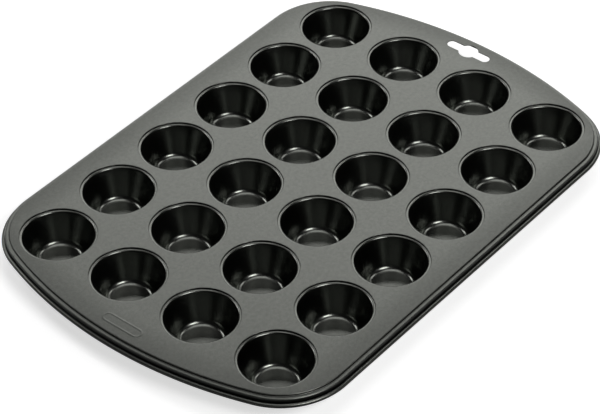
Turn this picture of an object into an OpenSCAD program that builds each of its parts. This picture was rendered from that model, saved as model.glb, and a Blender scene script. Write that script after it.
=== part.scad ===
// Muffin tin with four rows of six small tapered cups.
// A pressed sheet-steel frame carries twenty-four drawn cups; its edge is
// curled around a closed steel wire. Millimetres, +Z up. The origin is the
// centre of the footprint, in the plane that the cup bottoms stand on.
// +X points to the short end with the hanging slot, row a is the +Y row.

/* [Cup grid] */
// Centre distance of neighbouring cups along the long side
pitch_x = 56; // [54:0.25:58]
// Centre distance of neighbouring cups along the short side
pitch_y = 59.75; // [57:0.25:60]
// How far the cup grid sits toward the hanging-slot end
grid_shift = 0.8; // [0:0.1:2]

/* [Cup] */
// Radius of the hole in the flat field around each cup
hole_r = 24.85; // [24.6:0.05:25.5]
// Radius of the cup's mouth where its ledge meets the tapered wall
mouth_r = 23.1; // [22.5:0.05:23.4]
// Inner radius of the cup where wall and floor would meet
floor_r = 15.0; // [13:0.1:17]
// Depth of the cup's floor below the flat field
cup_depth = 21.2; // [20:0.1:24]
// Radius between the cup's floor and its wall
floor_fillet = 4.5; // [3:0.1:5.5]
// Radius between the cup's flat ledge and its wall
mouth_round = 1.6; // [1.3:0.05:1.9]
// Depth of the cup's ledge below the flat field
ledge_drop = 0.85; // [0.75:0.05:1.2]

/* [Cup seat] */
// How far the pocket for the cup's flange widens below the hole's staked edge
stake = 0.15; // [0.1:0.01:0.2]
// Height of the collar turned down around each hole
collar_h = 3.0; // [2.5:0.1:4]

/* [Sheet] */
// Thickness of the pressed sheet
sheet_t = 0.5; // [0.4:0.05:0.6]
// Gap left between the frame and a cup
seat_gap = 0.04; // [0.02:0.01:0.06]

/* [Outline of the flat field] */
// Half length of the flat field, to the crown of its bowed ends
field_a = 185.3; // [184:0.1:188]
// Radius of the bowed short ends
end_arc_r = 297; // [290:1:310]
// Corner radius of the flat field
corner_r = 45; // [42:0.5:48]
// Angle from the long axis at which a bowed end runs into a corner
end_half = 19.25; // [19:0.05:19.75]

/* [Rim] */
// Step down from the flat field to the rim ledge
rim_step = 1.3; // [1:0.05:1.6]
// Width of the rim ledge, out to the skirt's outer face
rim_ledge = 2.6; // [2.4:0.05:3]
// Outer edge radius of the rim ledge
rim_round = 1.0; // [0.8:0.05:1.2]
// Depth of the curled edge's centre below the flat field
curl_drop = 5.7; // [5:0.1:7]
// Diameter of the wire inside the curled edge
wire_d = 1.9; // [1.4:0.1:2.2]
// How far around the wire the sheet is curled
curl_wrap = 305; // [270:5:310]

/* [Hanging slot] */
// Distance of the slot's middle from the crown of the bowed end
slot_inset = 10.3; // [9.5:0.1:11]
// Overall length of the slot
slot_len = 34.3; // [30:0.1:38]
// Width of the slot's two arms
slot_w = 6.9; // [6:0.1:8]
// Diameter of the round opening in the slot's middle
slot_eye = 13.6; // [12:0.1:14]

/* [Hidden] */
cols = 6;
rows = 4;
// height of the flat field's top face above the cup bottoms
top_z = cup_depth + sheet_t;
// centre of a bowed end's arc, measured from the middle of the tray
end_cx = field_a - end_arc_r;
// centre of a corner arc, on the line from the bowed end's centre
corner_c = [end_cx + (end_arc_r - corner_r) * cos(end_half), (end_arc_r - corner_r) * sin(end_half), 0];
// half width of the flat field
field_b = corner_c[1] + corner_r;
// how far the swept strip reaches in from the field's edge
strip = 12;
curl_r = wire_d / 2 + sheet_t;
curl_x = rim_ledge + curl_r - sheet_t;
steel_dark = [0.25, 0.255, 0.245];
steel_cup = [0.18, 0.185, 0.18];
steel_wire = [0.62, 0.63, 0.65];
$fn = 96;

// points of an arc from angle a0 to a1 around c
function arc(c, r, a0, a1, n) =
    [for (i = [0:n]) let (t = a0 + (a1 - a0) * i / n) [c[0] + r * cos(t), c[1] + r * sin(t)]];
function col_x(i) = grid_shift + (i - (cols + 1) / 2) * pitch_x;
function row_y(j) = ((rows - 1) / 2 - j) * pitch_y;

// ---- rim profile: x outward from the field's edge, y up from its top face
in_r = 0.3;
out_r = in_r + sheet_t;
rim_profile = concat(
    [[-strip, 0]],
    arc([-out_r, -out_r], out_r, 90, 0, 4),
    arc([in_r, -rim_step + in_r], in_r, 180, 270, 3),
    arc([rim_ledge - rim_round, -rim_step - rim_round], rim_round, 90, 0, 5),
    arc([curl_x, -curl_drop], curl_r - sheet_t, 180, 180 + curl_wrap, 16),
    arc([curl_x, -curl_drop], curl_r, 180 + curl_wrap, 180, 18),
    arc([rim_ledge - rim_round, -rim_step - rim_round], rim_round - sheet_t, 0, 90, 4),
    arc([in_r, -rim_step + in_r], out_r, 270, 180, 4),
    arc([-out_r, -out_r], in_r, 0, 90, 3),
    [[-strip, -sheet_t]]);

// moves to v in two steps, a coarse one and a fine one, so that pieces meet exactly
module move_to(v) {
    c = [for (x = v) round(x * 10) / 10];
    translate(c) translate(v - c) children();
}
// carries a profile round the outline: at each corner half a long side and the
// corner arc, and the bowed end between two corners as one arc
module ring_sweep() {
    for (mx = [0, 1]) mirror([mx, 0, 0]) {
        for (my = [0, 1]) mirror([0, my, 0]) move_to(corner_c) {
            translate([0, corner_r, 0]) rotate([90, 0, -90]) mirror([1, 0, 0])
                linear_extrude(ceil(corner_c[0]) + 1) children();
            rotate_extrude(angle = 90 - end_half, start = end_half, $fn = 96)
                translate([corner_r, 0]) children();
        }
        translate([end_cx, 0, 0])
            rotate_extrude(angle = 2 * end_half, start = -end_half, $fn = 360)
                translate([end_arc_r, 0]) children();
    }
}

// ---- flat field inside the swept strip
module field_slab() {
    k = strip - 2;
    translate([0, 0, top_z - sheet_t]) linear_extrude(sheet_t)
        intersection() {
            square([2 * field_a, 2 * (field_b - k)], center = true);
            translate([end_cx, 0]) circle(r = end_arc_r - k, $fn = 360);
            translate([-end_cx, 0]) circle(r = end_arc_r - k, $fn = 360);
        }
}

// ---- recessed collar around one hole, as a profile turned about the cup's axis:
// the hole's edge locks over the cup's flange, the seat carries it from below,
// and the collar holds the cup's wall
wall_slope = (mouth_r - floor_r) / (cup_depth - ledge_drop);
// wall thickness along the radius
slant = sqrt(1 + wall_slope * wall_slope);
seat_d = ledge_drop + sheet_t;
// the flange is a little wider than the hole's edge, which is staked over it
pocket_r = hole_r + stake;
flange_r = pocket_r - seat_gap;
collar_end = seat_d + sheet_t + collar_h;
slab_hole_r = hole_r + 1.3;
wall_a = atan(wall_slope);
// centre of the mouth round, tangent to the ledge and to the inner wall
mouth_c = [mouth_r + mouth_round * (1 - sin(wall_a)) / cos(wall_a), -ledge_drop - mouth_round];
// the collar follows the cup's outer skin, so the cup seats in it like a taper
module collar() {
    r1 = mouth_round - sheet_t - seat_gap;
    r0 = r1 - sheet_t;
    tc = mouth_c + [0, seat_gap];
    a1 = 180 - wall_a;
    lip = [tc[0] + r1 * cos(a1), tc[1] + r1 * sin(a1)];
    lip_r = lip[0] - (collar_end + lip[1]) * wall_slope;
    rotate_extrude($fn = 96) translate([0, top_z]) polygon(concat(
        [[slab_hole_r + 0.5, 0]],
        arc([hole_r + 0.45, -0.45], 0.45, 90, 180, 3),
        [[hole_r, -ledge_drop + 0.2], [pocket_r, -ledge_drop + seat_gap], [pocket_r, -seat_d]],
        arc(tc, r1, 90, a1, 5),
        [[lip_r, -collar_end], [lip_r + sheet_t * slant, -collar_end]],
        arc(tc, r0, a1, 90, 4),
        arc([pocket_r, -seat_d - sheet_t + 0.4], 0.4, 270, 360, 3),
        [[pocket_r + 0.4, -sheet_t],
         [slab_hole_r + 0.5, -sheet_t]]));
}

// ---- hanging slot: two round-ended arms through a round eye
module slot_cut() {
    translate([field_a - slot_inset, 0, top_z - 2 * sheet_t]) {
        translate([-slot_w / 2, -(slot_len - slot_w) / 2, 0]) cube([slot_w, slot_len - slot_w, 3 * sheet_t]);
        for (s = [-1, 1]) translate([0, s * (slot_len - slot_w) / 2, 0])
            cylinder(d = slot_w, h = 3 * sheet_t, $fn = 48);
        cylinder(d = slot_eye, h = 3 * sheet_t, $fn = 64);
    }
}

// ---- pieces
module frame() {
    color(steel_dark) {
        difference() {
            union() {
                translate([0, 0, top_z]) ring_sweep() polygon(rim_profile);
                field_slab();
            }
            for (j = [0:rows - 1], i = [1:cols])
                translate([col_x(i), row_y(j), top_z - 2 * sheet_t])
                    cylinder(r = slab_hole_r, h = 3 * sheet_t, $fn = 96);
            slot_cut();
        }
        for (j = [0:rows - 1], i = [1:cols])
            translate([col_x(i), row_y(j), 0]) collar();
    }
}

// closed wire loop inside the curled edge
module rim_wire() {
    color(steel_wire) translate([0, 0, top_z])
        ring_sweep() polygon(arc([curl_x, -curl_drop], wire_d / 2 - 0.05, 0, 340, 17));
}

// one drawn cup: flat flange ring, rounded mouth, tapered wall, rounded floor
// corner, flat floor
module cup_at(i, j) {
    mr = mouth_round;
    mc = mouth_c;
    fr = floor_fillet;
    // centre of the floor fillet, tangent to the floor and to the inner wall
    fc = [floor_r - fr * (1 - sin(wall_a)) / cos(wall_a), -cup_depth + fr];
    color(steel_cup) translate([col_x(i), row_y(j), top_z])
        rotate_extrude($fn = 96) polygon(concat(
            [[0, -cup_depth]],
            arc(fc, fr, 270, 360 - wall_a, 8),
            arc(mc, mr, 180 - wall_a, 90, 7),
            [[flange_r - 0.1, -ledge_drop], [flange_r, -ledge_drop - 0.1], [flange_r, -ledge_drop - sheet_t]],
            arc(mc, mr - sheet_t, 90, 180 - wall_a, 7),
            arc(fc, fr + sheet_t, 360 - wall_a, 270, 8),
            [[0, -cup_depth - sheet_t]]));
}

frame();
rim_wire();
cup_at(1, 0);  // cup_a1
cup_at(2, 0);  // cup_a2
cup_at(3, 0);  // cup_a3
cup_at(4, 0);  // cup_a4
cup_at(5, 0);  // cup_a5
cup_at(6, 0);  // cup_a6
cup_at(1, 1);  // cup_b1
cup_at(2, 1);  // cup_b2
cup_at(3, 1);  // cup_b3
cup_at(4, 1);  // cup_b4
cup_at(5, 1);  // cup_b5
cup_at(6, 1);  // cup_b6
cup_at(1, 2);  // cup_c1
cup_at(2, 2);  // cup_c2
cup_at(3, 2);  // cup_c3
cup_at(4, 2);  // cup_c4
cup_at(5, 2);  // cup_c5
cup_at(6, 2);  // cup_c6
cup_at(1, 3);  // cup_d1
cup_at(2, 3);  // cup_d2
cup_at(3, 3);  // cup_d3
cup_at(4, 3);  // cup_d4
cup_at(5, 3);  // cup_d5
cup_at(6, 3);  // cup_d6
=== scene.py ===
import math
import bpy
import numpy as np
from mathutils import Matrix, Vector
from mathutils.geometry import delaunay_2d_cdt


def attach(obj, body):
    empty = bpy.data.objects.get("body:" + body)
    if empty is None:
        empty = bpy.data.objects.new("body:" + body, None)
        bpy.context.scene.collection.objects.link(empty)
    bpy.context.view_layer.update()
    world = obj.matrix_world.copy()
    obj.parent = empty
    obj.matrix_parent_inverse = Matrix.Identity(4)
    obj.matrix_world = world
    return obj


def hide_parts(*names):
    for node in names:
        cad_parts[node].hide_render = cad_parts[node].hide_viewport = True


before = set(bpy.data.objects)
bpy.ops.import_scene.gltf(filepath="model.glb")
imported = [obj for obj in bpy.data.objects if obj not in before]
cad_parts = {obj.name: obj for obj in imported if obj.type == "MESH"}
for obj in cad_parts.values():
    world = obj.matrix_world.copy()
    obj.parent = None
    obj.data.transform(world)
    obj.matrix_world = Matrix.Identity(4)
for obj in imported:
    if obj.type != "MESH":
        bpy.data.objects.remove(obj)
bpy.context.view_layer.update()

MM = 0.001

# ------------------------------------------------------------------ sizes, mm
PITCH_X, PITCH_Y, SHIFT = 56.0, 59.75, 0.8
HOLE_R, MOUTH_R, FLOOR_R = 24.85, 23.1, 15.0
DEPTH, FLOOR_FIL, MOUTH_RND, LEDGE = 21.2, 4.5, 1.6, 0.85
STAKE, COLLAR_H = 0.15, 3.0
T, GAP = 0.5, 0.04
FIELD_A, END_R, CORNER_R, END_HALF = 185.3, 297.0, 45.0, 19.25
STEP, RLEDGE, RROUND, CURL_Z = 1.3, 2.6, 1.0, 5.7
WIRE_D, WRAP = 1.9, 305.0
SLOT_IN, SLOT_L, SLOT_W, SLOT_EYE = 10.3, 34.3, 6.9, 13.6

TOP = DEPTH + T
END_CX = FIELD_A - END_R
CC = (END_CX + (END_R - CORNER_R) * math.cos(math.radians(END_HALF)),
      (END_R - CORNER_R) * math.sin(math.radians(END_HALF)))
FIELD_B = CC[1] + CORNER_R
CURL_R = WIRE_D / 2 + T
CURL_X = RLEDGE + CURL_R - T
SLOPE = (MOUTH_R - FLOOR_R) / (DEPTH - LEDGE)
SLANT = math.sqrt(1 + SLOPE * SLOPE)
WALL_A = math.degrees(math.atan(SLOPE))
SEAT = LEDGE + T
POCKET_R = HOLE_R + STAKE
COLLAR_END = SEAT + T + COLLAR_H
sA, cA = math.sin(math.radians(WALL_A)), math.cos(math.radians(WALL_A))
MOUTH_C = (MOUTH_R + MOUTH_RND * (1 - sA) / cA, -LEDGE - MOUTH_RND)


def arc(c, r, a0, a1, n):
    return [(c[0] + r * math.cos(math.radians(a0 + (a1 - a0) * i / n)),
             c[1] + r * math.sin(math.radians(a0 + (a1 - a0) * i / n))) for i in range(n + 1)]


def supported(pts, near=0.05, least=0.22, most=None):
    """Adds a point close to each end of every long straight run, so that smooth
    shading stays in the rounds and the flats stay flat."""
    out = []
    for i, p in enumerate(pts):
        if out and math.dist(out[-1], p) < 1e-6:
            continue
        if out:
            a, b = np.array(out[-1]), np.array(p)
            d = float(np.linalg.norm(b - a))
            if d > least:
                u = (b - a) / d
                out.append(tuple(a + u * near))
                if most and d > 2 * most:
                    k = int(d / most)
                    for j in range(1, k):
                        out.append(tuple(a + u * (near + (d - 2 * near) * j / k)))
                out.append(tuple(b - u * near))
        out.append(tuple(p))
    return out


# ------------------------------------------------------------------ mesh helper
def new_piece(name, verts, faces, mat, sharp=40):
    me = bpy.data.meshes.new(name)
    me.from_pydata([tuple(v) for v in verts], [], faces)
    me.validate(clean_customdata=False)
    me.update()
    ob = bpy.data.objects.new(name, me)
    bpy.context.scene.collection.objects.link(ob)
    me.shade_smooth()
    me.set_sharp_from_angle(angle=math.radians(sharp))
    for m in (mat if isinstance(mat, (list, tuple)) else [mat]):
        me.materials.append(m)
    return ob


def lathe(profile, cx, cy, n, closed_axis=True):
    """Turns an (r, z) profile about a vertical axis. Its two ends lie on the axis."""
    prof = [p for p in profile]
    verts, faces = [], []
    ang = np.arange(n) * 2 * math.pi / n
    ca, sa = np.cos(ang), np.sin(ang)
    rings = []
    for r, z in prof:
        if r < 1e-6:
            rings.append([len(verts)])
            verts.append((cx * MM, cy * MM, (TOP + z) * MM))
        else:
            base = len(verts)
            rings.append(list(range(base, base + n)))
            for k in range(n):
                verts.append(((cx + r * ca[k]) * MM, (cy + r * sa[k]) * MM, (TOP + z) * MM))
    for a, b in zip(rings[:-1], rings[1:]):
        for k in range(n):
            k2 = (k + 1) % n
            if len(a) == 1:
                faces.append((a[0], b[k], b[k2]))
            elif len(b) == 1:
                faces.append((a[k2], a[k], b[0]))
            else:
                faces.append((a[k2], a[k], b[k], b[k2]))
    return verts, faces


# ------------------------------------------------------------------ materials
def link(nt, a, b):
    nt.links.new(a, b)


def coated_steel(name, flat_rgb, upright_shade_rgb, rough, lo, hi, grain=1.0, edge_shade=None):
    """Dark satin non-stick coating. The base colour is painted by slope: level
    faces keep the coating's grey, and upright faces are painted far darker, a
    painted shade for the dark that they reflect. A fine orange peel and soft patches break up the gloss."""
    m = bpy.data.materials.new(name)
    m.use_nodes = True
    nt = m.node_tree
    N = nt.nodes
    bs = N["Principled BSDF"]
    tc = N.new("ShaderNodeTexCoord")
    geo = N.new("ShaderNodeNewGeometry")
    sep = N.new("ShaderNodeSeparateXYZ")
    link(nt, geo.outputs["Normal"], sep.inputs[0])
    up = N.new("ShaderNodeMath"); up.operation = "ABSOLUTE"
    link(nt, sep.outputs["Z"], up.inputs[0])
    ramp = N.new("ShaderNodeMapRange")
    ramp.interpolation_type = "SMOOTHSTEP"
    ramp.inputs["From Min"].default_value = lo
    ramp.inputs["From Max"].default_value = hi
    link(nt, up.outputs[0], ramp.inputs["Value"])
    # painted shade: the base colour runs from the level-face grey down to the far darker upright-face colour, following
    # the slope of the surface
    slope_shade_mix = N.new("ShaderNodeMix"); slope_shade_mix.data_type = "RGBA"
    slope_shade_mix.inputs["A"].default_value = (*upright_shade_rgb, 1)
    slope_shade_mix.inputs["B"].default_value = (*flat_rgb, 1)
    link(nt, ramp.outputs["Result"], slope_shade_mix.inputs["Factor"])
    # soft patches, a few centimetres across
    patch = N.new("ShaderNodeTexNoise")
    patch.inputs["Scale"].default_value = 22.0
    patch.inputs["Detail"].default_value = 3.0
    link(nt, tc.outputs["Object"], patch.inputs["Vector"])
    # flake, a fraction of a millimetre
    flake = N.new("ShaderNodeTexNoise")
    flake.inputs["Scale"].default_value = 2600.0
    flake.inputs["Detail"].default_value = 2.0
    link(nt, tc.outputs["Object"], flake.inputs["Vector"])
    pr = N.new("ShaderNodeMapRange")
    pr.inputs["From Min"].default_value = 0.3
    pr.inputs["From Max"].default_value = 0.7
    pr.inputs["To Min"].default_value = 0.93
    pr.inputs["To Max"].default_value = 1.06
    link(nt, patch.outputs["Fac"], pr.inputs["Value"])
    fr = N.new("ShaderNodeMapRange")
    fr.inputs["From Min"].default_value = 0.3
    fr.inputs["From Max"].default_value = 0.7
    fr.inputs["To Min"].default_value = 0.86
    fr.inputs["To Max"].default_value = 1.14
    link(nt, flake.outputs["Fac"], fr.inputs["Value"])
    # mottle, two or three millimetres across
    mott = N.new("ShaderNodeTexNoise")
    mott.inputs["Scale"].default_value = 420.0
    mott.inputs["Detail"].default_value = 1.5
    link(nt, tc.outputs["Object"], mott.inputs["Vector"])
    mt = N.new("ShaderNodeMapRange")
    mt.inputs["From Min"].default_value = 0.3
    mt.inputs["From Max"].default_value = 0.7
    mt.inputs["To Min"].default_value = 1.0 - 0.07 * grain
    mt.inputs["To Max"].default_value = 1.0 + 0.07 * grain
    link(nt, mott.outputs["Fac"], mt.inputs["Value"])
    fine = N.new("ShaderNodeMath"); fine.operation = "MULTIPLY"
    link(nt, fr.outputs["Result"], fine.inputs[0])
    link(nt, mt.outputs["Result"], fine.inputs[1])
    mul = N.new("ShaderNodeMath"); mul.operation = "MULTIPLY"
    link(nt, pr.outputs["Result"], mul.inputs[0])
    link(nt, fine.outputs[0], mul.inputs[1])
    tone = N.new("ShaderNodeMix"); tone.data_type = "RGBA"; tone.blend_type = "MULTIPLY"
    tone.inputs["Factor"].default_value = 1.0
    link(nt, slope_shade_mix.outputs["Result"], tone.inputs["A"])
    link(nt, mul.outputs[0], tone.inputs["B"])
    shade = tone.outputs["Result"]
    if edge_shade:
        # Painted shade toward the edge of the plate: the tone falls over the last
        # 25 mm before the step, on the plate only, not on the ledge outside it.
        def math_node(op, a, b=None):
            n = N.new("ShaderNodeMath"); n.operation = op
            for k, v in ((0, a), (1, b)):
                if v is None:
                    continue
                if isinstance(v, (int, float)):
                    n.inputs[k].default_value = v
                else:
                    link(nt, v, n.inputs[k])
            return n.outputs[0]
        pos = N.new("ShaderNodeSeparateXYZ")
        link(nt, tc.outputs["Object"], pos.inputs[0])
        ax = math_node("ABSOLUTE", math_node("SUBTRACT", pos.outputs["X"], edge_shade["x0"]))
        ay = math_node("ABSOLUTE", pos.outputs["Y"])
        hx = math_node("ADD", ax, edge_shade["r"] - edge_shade["a"])
        hyp = math_node("SQRT", math_node("ADD", math_node("MULTIPLY", hx, hx), math_node("MULTIPLY", ay, ay)))
        dist = math_node("MINIMUM", math_node("SUBTRACT", edge_shade["b"], ay), math_node("SUBTRACT", edge_shade["r"], hyp))
        fall = N.new("ShaderNodeMapRange"); fall.interpolation_type = "SMOOTHSTEP"
        fall.inputs["From Min"].default_value = 0.001
        fall.inputs["From Max"].default_value = 0.025
        fall.inputs["To Min"].default_value = edge_shade["tone"]
        fall.inputs["To Max"].default_value = 1.0
        link(nt, dist, fall.inputs["Value"])
        inside = math_node("GREATER_THAN", pos.outputs["Z"], edge_shade["z"])
        edge_shade_amount = math_node("MULTIPLY", inside, math_node("SUBTRACT", 1.0, fall.outputs["Result"]))
        edge = N.new("ShaderNodeMix"); edge.data_type = "RGBA"; edge.blend_type = "MULTIPLY"
        edge.inputs["Factor"].default_value = 1.0
        link(nt, shade, edge.inputs["A"])
        link(nt, math_node("SUBTRACT", 1.0, edge_shade_amount), edge.inputs["B"])
        shade = edge.outputs["Result"]
    link(nt, shade, bs.inputs["Base Color"])
    bs.inputs["Metallic"].default_value = 1.0
    bs.inputs["IOR"].default_value = 1.45
    # roughness varies softly with the patches
    rr = N.new("ShaderNodeMapRange")
    rr.inputs["From Min"].default_value = 0.3
    rr.inputs["From Max"].default_value = 0.7
    rr.inputs["To Min"].default_value = rough - 0.03
    rr.inputs["To Max"].default_value = rough + 0.03
    link(nt, patch.outputs["Fac"], rr.inputs["Value"])
    link(nt, rr.outputs["Result"], bs.inputs["Roughness"])
    # orange peel
    peel = N.new("ShaderNodeTexNoise")
    peel.inputs["Scale"].default_value = 900.0
    peel.inputs["Detail"].default_value = 2.5
    link(nt, tc.outputs["Object"], peel.inputs["Vector"])
    bump = N.new("ShaderNodeBump")
    bump.inputs["Strength"].default_value = 0.10 * grain
    bump.inputs["Distance"].default_value = 0.0001
    link(nt, peel.outputs["Fac"], bump.inputs["Height"])
    link(nt, bump.outputs["Normal"], bs.inputs["Normal"])
    return m


def wire_steel():
    m = bpy.data.materials.new("wire_steel")
    m.use_nodes = True
    nt = m.node_tree
    N = nt.nodes
    bs = N["Principled BSDF"]
    tc = N.new("ShaderNodeTexCoord")
    no = N.new("ShaderNodeTexNoise")
    no.inputs["Scale"].default_value = 700.0
    no.inputs["Detail"].default_value = 3.0
    link(nt, tc.outputs["Object"], no.inputs["Vector"])
    cr = N.new("ShaderNodeValToRGB")
    cr.color_ramp.elements[0].position = 0.3
    cr.color_ramp.elements[0].color = (0.42, 0.42, 0.43, 1)
    cr.color_ramp.elements[1].position = 0.7
    cr.color_ramp.elements[1].color = (0.62, 0.62, 0.63, 1)
    link(nt, no.outputs["Fac"], cr.inputs["Fac"])
    link(nt, cr.outputs["Color"], bs.inputs["Base Color"])
    bs.inputs["Metallic"].default_value = 1.0
    mr = N.new("ShaderNodeMapRange")
    mr.inputs["To Min"].default_value = 0.25
    mr.inputs["To Max"].default_value = 0.45
    link(nt, no.outputs["Fac"], mr.inputs["Value"])
    link(nt, mr.outputs["Result"], bs.inputs["Roughness"])
    return m


# frame coating: upright faces are painted near black and the plate is painted darker toward its edge, both painted
# shade
M_FRAME = coated_steel("coating_frame", (0.154, 0.159, 0.146), (0.006, 0.0062, 0.0058), 0.34, 0.15, 0.86,
                       edge_shade={"x0": 0.0, "a": FIELD_A * MM, "b": FIELD_B * MM, "r": END_R * MM,
                               "z": (TOP - 0.3) * MM, "tone": 0.72})
# cup coating: upright walls are painted darker than the level floors, a painted shade
M_CUP = coated_steel("coating_cup", (0.150, 0.155, 0.142), (0.098, 0.103, 0.094), 0.235, 0.30, 0.92)
M_WIRE = wire_steel()

# ------------------------------------------------------------------ cups
def cup_profile():
    fr = FLOOR_FIL
    fc = (FLOOR_R - fr * (1 - sA) / cA, -DEPTH + fr)
    fl = POCKET_R - GAP
    p = [(0, -DEPTH)]
    p += arc(fc, fr, 270, 360 - WALL_A, 16)
    p += arc(MOUTH_C, MOUTH_RND, 180 - WALL_A, 90, 12)
    p += [(fl - 0.12, -LEDGE)] + arc((fl - 0.12, -LEDGE - 0.12), 0.12, 90, 0, 3) + [(fl, -LEDGE - T)]
    p += arc(MOUTH_C, MOUTH_RND - T, 90, 180 - WALL_A, 10)
    p += arc(fc, fr + T, 360 - WALL_A, 270, 16)
    p += [(0, -DEPTH - T)]
    return supported(p, near=0.06, least=0.3, most=3.0)


CUP_PROF = cup_profile()
ROWS = "abcd"
for j in range(4):
    for i in range(6):
        node = "cup_%s%d" % (ROWS[j], i + 1)
        cx = SHIFT + (i - 2.5) * PITCH_X
        cy = (1.5 - j) * PITCH_Y
        v, f = lathe(CUP_PROF, cx, cy, 144)
        ob = new_piece("drawn_" + node, v, f, M_CUP)
        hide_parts(node)
        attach(ob, "root")

# ------------------------------------------------------------------ outline
def outline():
    """Stations round the field's edge: point and outward normal, in mm."""
    st = []

    def add_arc(c, r, a0, a1, step):
        n = max(2, int(round(abs(math.radians(a1 - a0)) * r / step)))
        for k in range(n):
            a = math.radians(a0 + (a1 - a0) * k / n)
            st.append((c[0] + r * math.cos(a), c[1] + r * math.sin(a), math.cos(a), math.sin(a)))

    def add_line(p, q, nrm, step):
        n = max(2, int(round(math.dist(p, q) / step)))
        for k in range(n):
            t = k / n
            st.append((p[0] + (q[0] - p[0]) * t, p[1] + (q[1] - p[1]) * t, *nrm))

    h = END_HALF
    x, y = CC
    add_arc((END_CX, 0), END_R, -h, h, 2.4)
    add_arc((x, y), CORNER_R, h, 90, 1.3)
    add_line((x, FIELD_B), (-x, FIELD_B), (0, 1), 3.0)
    add_arc((-x, y), CORNER_R, 90, 180 - h, 1.3)
    add_arc((-END_CX, 0), END_R, 180 - h, 180 + h, 2.4)
    add_arc((-x, -y), CORNER_R, 180 + h, 270, 1.3)
    add_line((-x, -FIELD_B), (x, -FIELD_B), (0, -1), 3.0)
    add_arc((x, -y), CORNER_R, 270, 360 - h, 1.3)
    return np.array(st)


ST = outline()
NS = len(ST)
IN_R, OUT_R = 0.3, 0.3 + T
EDGE = -OUT_R - 0.05      # where the level field hands over to the rim profile
rim = [(EDGE, 0)]
rim += arc((-OUT_R, -OUT_R), OUT_R, 90, 0, 10)
rim += arc((IN_R, -STEP + IN_R), IN_R, 180, 270, 7)
rim += arc((RLEDGE - RROUND, -STEP - RROUND), RROUND, 90, 0, 12)
rim += arc((CURL_X, -CURL_Z), CURL_R - T, 180, 180 + WRAP, 40)
rim += arc((CURL_X, -CURL_Z), CURL_R, 180 + WRAP, 180, 48)
rim += arc((RLEDGE - RROUND, -STEP - RROUND), RROUND - T, 0, 90, 9)
rim += arc((IN_R, -STEP + IN_R), OUT_R, 270, 180, 9)
rim += arc((-OUT_R, -OUT_R), IN_R, 0, 90, 7)
rim += [(EDGE, -T)]
RIM = supported(rim, near=0.05, least=0.2)


def collar_profile():
    r1 = MOUTH_RND - T - GAP
    r0 = r1 - T
    tc = (MOUTH_C[0], MOUTH_C[1] + GAP)
    a1 = 180 - WALL_A
    lip = (tc[0] + r1 * math.cos(math.radians(a1)), tc[1] + r1 * math.sin(math.radians(a1)))
    lip_r = lip[0] - (COLLAR_END + lip[1]) * SLOPE
    p = [(HOLE_R + 0.55, 0)]
    p += arc((HOLE_R + 0.45, -0.45), 0.45, 90, 180, 8)
    p += [(HOLE_R, -LEDGE + 0.2), (POCKET_R, -LEDGE + GAP), (POCKET_R, -SEAT)]
    p += arc(tc, r1, 90, a1, 9)
    p += [(lip_r, -COLLAR_END), (lip_r + T * SLANT, -COLLAR_END)]
    p += arc(tc, r0, a1, 90, 8)
    p += arc((POCKET_R, -SEAT - T + 0.4), 0.4, 270, 360, 6)
    p += [(POCKET_R + 0.4, -T), (HOLE_R + 0.55, -T)]
    return supported(p, near=0.05, least=0.2)


COL = collar_profile()


# ------------------------------------------------------------------ frame sheet
def slot_loop(n_arm=14, n_eye=14):
    """Outline of the hanging slot, counter-clockwise. Its outward normals are taken
    from its neighbours by loop_normals."""
    c = FIELD_A - SLOT_IN
    r = SLOT_W / 2
    e = SLOT_EYE / 2
    yb = (SLOT_L - SLOT_W) / 2
    ye = math.sqrt(e * e - r * r)
    th = math.degrees(math.atan2(ye, r))      # where the eye leaves the arm, from +X
    pts = []
    pts += arc((c, 0), e, -th, th, n_eye)                       # +X side of the eye
    pts += [(c + r, ye + (yb - ye) * k / 5) for k in range(1, 5)]
    pts += arc((c, yb), r, 0, 180, n_arm)
    pts += [(c - r, yb + (ye - yb) * k / 5) for k in range(1, 5)]
    pts += arc((c, 0), e, 180 - th, 180 + th, n_eye)
    pts += [(c - r, -ye + (-yb + ye) * k / 5) for k in range(1, 5)]
    pts += arc((c, -yb), r, 180, 360, n_arm)
    pts += [(c + r, -yb + (yb - ye) * k / 5) for k in range(1, 5)]
    out = []
    for p in pts:
        if not out or math.dist(out[-1], p) > 1e-4:
            out.append(p)
    return np.array(out)


def loop_normals(L):
    d = np.roll(L, -1, 0) - np.roll(L, 1, 0)
    n = np.stack([d[:, 1], -d[:, 0]], 1)
    return n / np.linalg.norm(n, axis=1)[:, None]


def relief(x, y):
    """A plain pressed lozenge at the end across from the slot: a low raised border
    with round ends around a level middle. Millimetres of height."""
    px, py = x + 175.2, y - 1.8
    hw, hl = 4.1, 15.6
    rad = 4.1
    qx = np.abs(px) - (hw - rad)
    qy = np.abs(py) - (hl - rad)
    d = np.sqrt(np.maximum(qx, 0) ** 2 + np.maximum(qy, 0) ** 2) + np.minimum(np.maximum(qx, qy), 0) - rad
    ridge = np.exp(-((d + 0.9) / 0.42) ** 2)
    return 0.13 * ridge


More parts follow.
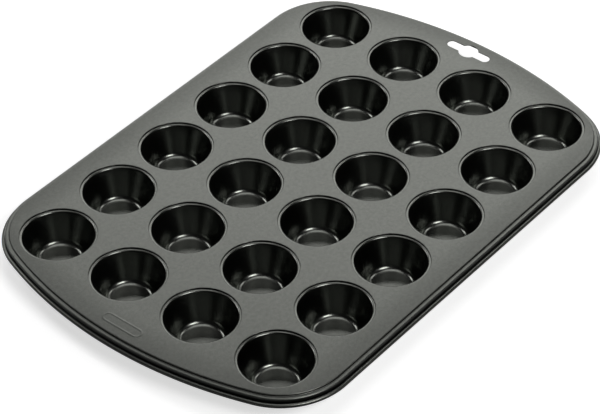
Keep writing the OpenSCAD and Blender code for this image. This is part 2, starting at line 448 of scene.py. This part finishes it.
def build_frame():
    verts, faces = [], []
    # loops of the level field: outer edge, 24 holes, slot
    outer = ST[:, :2] + ST[:, 2:] * EDGE
    loops = [outer]
    NH = 120
    ang = np.arange(NH) * 2 * math.pi / NH
    centres = [(SHIFT + (i - 2.5) * PITCH_X, (1.5 - j) * PITCH_Y) for j in range(4) for i in range(6)]
    for cx, cy in centres:
        loops.append(np.stack([cx + (HOLE_R + 0.55) * np.cos(ang), cy + (HOLE_R + 0.55) * np.sin(ang)], 1))
    SL = slot_loop()
    SN = loop_normals(SL)
    soft = 0.14
    loops.append(SL + SN * (soft + 0.04))
    pts = np.concatenate(loops)
    edges, k = [], 0
    for L in loops:
        n = len(L)
        edges += [(k + a, k + (a + 1) % n) for a in range(n)]
        k += n
    n_fixed = len(pts)
    # points inside the field: an even triangular grid, finer on the lozenge
    def inside(P, margin):
        x, y = np.abs(P[:, 0]), np.abs(P[:, 1])
        ok = y < FIELD_B - 1 - margin
        ok &= np.hypot(x - END_CX, y) < END_R - 1 - margin
        corner = (x > CC[0]) & (y > CC[1])
        ang_c = np.arctan2(y, x - END_CX)
        in_corner = ang_c > math.radians(END_HALF)
        ok &= ~(in_corner & (x > CC[0])) | (np.hypot(x - CC[0], y - CC[1]) < CORNER_R - 1 - margin)
        for cx, cy in centres:
            ok &= np.hypot(P[:, 0] - cx, P[:, 1] - cy) > HOLE_R + 0.55 + margin
        c = FIELD_A - SLOT_IN
        dy = np.maximum(np.abs(P[:, 1]) - (SLOT_L - SLOT_W) / 2, 0)
        ok &= np.hypot(P[:, 0] - c, dy) > SLOT_W / 2 + 0.2 + margin
        ok &= np.hypot(P[:, 0] - c, P[:, 1]) > SLOT_EYE / 2 + 0.2 + margin
        return ok
    s = 3.2
    gx, gy = np.meshgrid(np.arange(-190, 190, s), np.arange(-132, 132, s * 0.866))
    gx = gx + (np.arange(gx.shape[0]) % 2)[:, None] * s / 2
    G = np.stack([gx.ravel(), gy.ravel()], 1)
    box = (np.abs(G[:, 0] + 175.2) < 6.5) & (np.abs(G[:, 1] - 1.8) < 18)
    G = G[inside(G, 1.4) & ~box]
    fx, fy = np.meshgrid(np.arange(-175.2 - 6, -175.2 + 6.01, 0.4), np.arange(1.8 - 17.6, 1.8 + 17.61, 0.4))
    Fp = np.stack([fx.ravel(), fy.ravel()], 1)
    Fp = Fp[inside(Fp, 0.6)]
    P = np.concatenate([pts, G, Fp])
    res = delaunay_2d_cdt([Vector((float(a), float(b))) for a, b in P], edges, [], 0, 1e-5)
    V2, T2, orig = res[0], res[2], res[3]
    V2 = np.array([(v.x, v.y) for v in V2])
    # the output keeps the input order; make sure of it
    remap = {}
    for o, src in enumerate(orig):
        for q in src:
            remap[q] = o
    tri = []
    for t in T2:
        a, b, c = (V2[i] for i in t[:3])
        m = (a + b + c) / 3
        tri.append((t[0], t[1], t[2], m[0], m[1]))
    cen = np.array([(q[3], q[4]) for q in tri])
    # keep triangles inside the field and outside its holes
    keep = np.ones(len(cen), bool)
    for cx, cy in centres:
        keep &= np.hypot(cen[:, 0] - cx, cen[:, 1] - cy) > (HOLE_R + 0.55) * math.cos(math.pi / NH) - 1e-3

    def in_poly(C, L):
        x, y = C[:, 0], C[:, 1]
        x1, y1 = L[:, 0], L[:, 1]
        x2, y2 = np.roll(x1, -1), np.roll(y1, -1)
        c = np.zeros(len(C), bool)
        for a, b, c2, d in zip(x1, y1, x2, y2):
            hit = ((b > y) != (d > y)) & (x < (c2 - a) * (y - b) / (d - b + 1e-30) + a)
            c ^= hit
        return c
    keep &= in_poly(cen, outer)
    keep &= ~in_poly(cen, loops[-1])
    z = relief(V2[:, 0], V2[:, 1])
    nv = len(V2)
    top = [(x * MM, y * MM, (TOP + h) * MM) for (x, y), h in zip(V2, z)]
    bot = [(x * MM, y * MM, (TOP - T + h) * MM) for (x, y), h in zip(V2, z)]
    verts += top + bot
    for q, kp in zip(tri, keep):
        if not kp:
            continue
        a, b, c = q[0], q[1], q[2]
        A, B, Cc = V2[a], V2[b], V2[c]
        if (B[0] - A[0]) * (Cc[1] - A[1]) - (B[1] - A[1]) * (Cc[0] - A[0]) < 0:
            b, c = c, b
        faces.append((a, b, c))
        faces.append((a + nv, c + nv, b + nv))

    def strip(rings, flip):
        for A, B in zip(rings[:-1], rings[1:]):
            n = len(A)
            for k in range(n):
                k2 = (k + 1) % n
                f = (A[k], A[k2], B[k2], B[k])
                faces.append(f[::-1] if flip else f)

    # rim: the profile swept round the outline
    k0 = 0
    first = [remap[k0 + a] for a in range(NS)]
    rings = [first]
    for x, zz in RIM[1:-1]:
        base = len(verts)
        q = ST[:, :2] + ST[:, 2:] * x
        verts += [(a * MM, b * MM, (TOP + zz) * MM) for a, b in q]
        rings.append(list(range(base, base + NS)))
    rings.append([a + nv for a in first])
    strip(rings, True)
    k0 += NS
    # collars
    for cx, cy in centres:
        first = [remap[k0 + a] for a in range(NH)]
        rings = [first]
        for r, zz in COL[1:-1]:
            base = len(verts)
            verts += [((cx + r * a) * MM, (cy + r * b) * MM, (TOP + zz) * MM) for a, b in zip(np.cos(ang), np.sin(ang))]
            rings.append(list(range(base, base + NH)))
        rings.append([a + nv for a in first])
        strip(rings, False)
        k0 += NH
    # slot wall with a soft coated edge
    first = [remap[k0 + a] for a in range(len(SL))]
    rings = [first]
    sec = supported(arc((soft, -soft), soft, 90, 180, 4) + arc((soft, -T + soft), soft, 180, 270, 4), near=0.02, least=0.1)
    for x, zz in sec:
        base = len(verts)
        q = SL + SN * x
        verts += [(a * MM, b * MM, (TOP + zz) * MM) for a, b in q]
        rings.append(list(range(base, base + len(SL))))
    rings.append([a + nv for a in first])
    strip(rings, False)
    # drop points that nothing uses
    used = np.zeros(len(verts), bool)
    for f in faces:
        for q in f:
            used[q] = True
    idx = np.cumsum(used) - 1
    verts = [v for v, u in zip(verts, used) if u]
    faces = [tuple(int(idx[q]) for q in f) for f in faces]
    return verts, faces


fv, ff = build_frame()
frame_ob = new_piece("tray_sheet", fv, ff, M_FRAME, sharp=40)
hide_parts("frame")
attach(frame_ob, "root")

# ------------------------------------------------------------------ rim wire
def build_wire():
    verts, faces = [], []
    n = 20
    r = WIRE_D / 2 - 0.05
    for k in range(n):
        a = 2 * math.pi * k / n
        q = ST[:, :2] + ST[:, 2:] * (CURL_X + r * math.cos(a))
        verts += [(x * MM, y * MM, (TOP - CURL_Z + r * math.sin(a)) * MM) for x, y in q]
    for k in range(n):
        k2 = (k + 1) % n
        for s in range(NS):
            s2 = (s + 1) % NS
            faces.append((k * NS + s, k * NS + s2, k2 * NS + s2, k2 * NS + s))
    return verts, faces


wv, wf = build_wire()
wire_ob = new_piece("edge_wire", wv, wf, M_WIRE)
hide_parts("rim_wire")
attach(wire_ob, "root")

# ------------------------------------------------------------------ floor
def pale_floor():
    m = bpy.data.materials.new("pale_floor")
    m.use_nodes = True
    bs = m.node_tree.nodes["Principled BSDF"]
    bs.inputs["Base Color"].default_value = (0.80, 0.80, 0.80, 1)
    bs.inputs["Roughness"].default_value = 0.9
    bs.inputs["Specular IOR Level"].default_value = 0.1
    bs.inputs["Emission Color"].default_value = (1, 1, 1, 1)
    bs.inputs["Emission Strength"].default_value = 0.62
    return m


me = bpy.data.meshes.new("floor")
S = 6.0
me.from_pydata([(-S, -S, 0), (S, -S, 0), (S, S, 0), (-S, S, 0)], [], [(0, 1, 2, 3)])
floor = bpy.data.objects.new("floor", me)
bpy.context.scene.collection.objects.link(floor)
me.materials.append(pale_floor())

# ------------------------------------------------------------------ light
def area(name, direction, dist, size, size_y, power, colour=(1, 1, 1)):
    d = Vector(direction).normalized()
    la = bpy.data.lights.new(name, "AREA")
    la.shape = "RECTANGLE"
    la.size, la.size_y = size, size_y
    la.energy = power
    la.color = colour
    o = bpy.data.objects.new(name, la)
    o.location = d * dist
    o.rotation_mode = "QUATERNION"
    o.rotation_quaternion = d.to_track_quat("Z", "Y")
    bpy.context.scene.collection.objects.link(o)
    return o


def polar(az, el):
    a, e = math.radians(az), math.radians(el)
    return (math.cos(a) * math.cos(e), math.sin(a) * math.cos(e), math.sin(e))


area("back_softbox", polar(31, 34), 2.4, 2.1, 1.2, 14.6)
area("side_panel", polar(91, 41), 2.0, 0.42, 0.6, 4.6)
area("fill_panel", polar(-12, 50), 2.0, 0.50, 0.5, 2.4)
area("key", polar(-104, 46), 1.8, 0.7, 0.5, 11.5)
area("overhead", polar(40, 84), 1.8, 1.0, 1.0, 4.6)

w = bpy.data.worlds.new("studio")
bpy.context.scene.world = w
w.use_nodes = True
w.node_tree.nodes["Background"].inputs["Color"].default_value = (1, 1, 1, 1)
w.node_tree.nodes["Background"].inputs["Strength"].default_value = 0.015

# ------------------------------------------------------------------ camera
R = ((0.63439414, -0.77290208, -0.01290156),
     (-0.51214555, -0.40774803, -0.75594211),
     (0.57900864, 0.48617273, -0.65451132))
cam = bpy.data.cameras.new("camera")
cam.sensor_fit = "HORIZONTAL"
cam.sensor_width = 36.0
cam.lens = 2479.44 * 36.0 / 600.0
cam.shift_x = -0.5 / 600
cam.shift_y = 0.5 / 600
cam.clip_start, cam.clip_end = 0.05, 50
co = bpy.data.objects.new("camera", cam)
bpy.context.scene.collection.objects.link(co)
m = Matrix(((R[0][0], -R[1][0], -R[2][0], 0),
            (R[0][1], -R[1][1], -R[2][1], 0),
            (R[0][2], -R[1][2], -R[2][2], 0),
            (0, 0, 0, 1)))
co.matrix_world = Matrix.Translation((-0.9409, -0.7838, 1.0366 + TOP * MM)) @ m
bpy.context.scene.camera = co
bpy.context.scene.view_settings.view_transform = "Standard"
bpy.context.scene.view_settings.look = "None"
